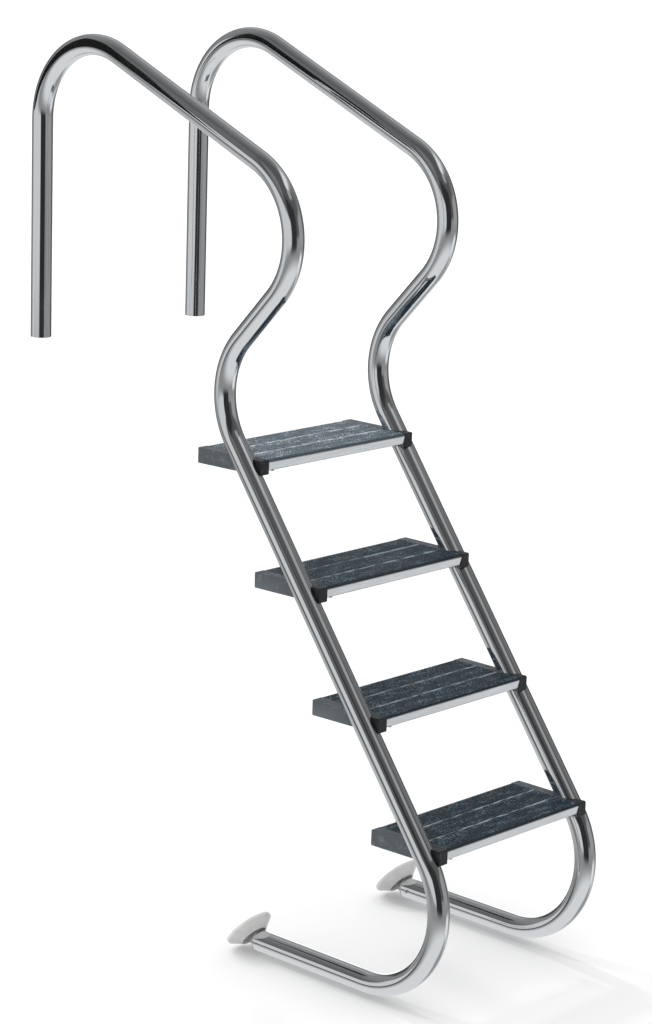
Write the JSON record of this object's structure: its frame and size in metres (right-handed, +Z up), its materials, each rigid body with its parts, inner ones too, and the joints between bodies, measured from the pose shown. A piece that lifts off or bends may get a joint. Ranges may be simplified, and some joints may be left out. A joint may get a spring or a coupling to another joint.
{
  "type": "pool ladder",
  "caption": "Inclined pool ladder with bent tube rails, deep ribbed treads between them and tilting pads that bear on the pool wall.",
  "frame": {"origin": "midway between the cut ends of the two deck legs, on their axes", "axes": "+Z up along the legs, +X across the ladder to its right side, +Y towards the deck and -Y towards the pool"},
  "size_m": [0.613, 1.3298, 2.0083],
  "materials": {
    "polished_steel": "mirror-polished stainless tube",
    "pan_steel": "bright folded stainless sheet",
    "hardware_steel": "plain stainless fasteners",
    "tread_mat": "dark slate, ribbed and grained",
    "cap_plastic": "black, fine moulded grain",
    "grey_plastic": "grey, moulded",
    "pad_rubber": "milky pale grey, soft"
  },
  "bodies": {
    "frame": {"left_rail": "polished_steel", "right_rail": "polished_steel", "tread_1_pan": "pan_steel", "tread_1_mat": "tread_mat", "tread_1_left_cap": "cap_plastic", "tread_1_right_cap": "cap_plastic", "tread_2_pan": "pan_steel", "tread_2_mat": "tread_mat", "tread_2_left_cap": "cap_plastic", "tread_2_right_cap": "cap_plastic", "tread_3_pan": "pan_steel", "tread_3_mat": "tread_mat", "tread_3_left_cap": "cap_plastic", "tread_3_right_cap": "cap_plastic", "tread_4_pan": "pan_steel", "tread_4_mat": "tread_mat", "tread_4_left_cap": "cap_plastic", "tread_4_right_cap": "cap_plastic", "tread_bosses": "hardware_steel", "tread_bolts": "hardware_steel", "tread_washers": "hardware_steel", "pan_screws": "hardware_steel", "left_foot_plug": "grey_plastic", "right_foot_plug": "grey_plastic", "plug_screws": "hardware_steel", "left_hinge_pin": "hardware_steel", "right_hinge_pin": "hardware_steel", "pin_clips": "hardware_steel"},
    "left_pad": {"left_pad_hub": "grey_plastic", "left_wall_pad": "pad_rubber"},
    "right_pad": {"right_pad_hub": "grey_plastic", "right_wall_pad": "pad_rubber"}
  },
  "joints": [
    {"name": "left_pad_tilt", "type": "hinge", "parent": "frame", "child": "left_pad", "pos_m": [-0.25, -0.7459, -1.27362], "axis": [1, 0, 0], "range_deg": [-85, 5]},
    {"name": "right_pad_tilt", "type": "hinge", "parent": "frame", "child": "right_pad", "pos_m": [0.25, -0.7459, -1.27362], "axis": [1, 0, 0], "range_deg": [-85, 5]}
  ]
}
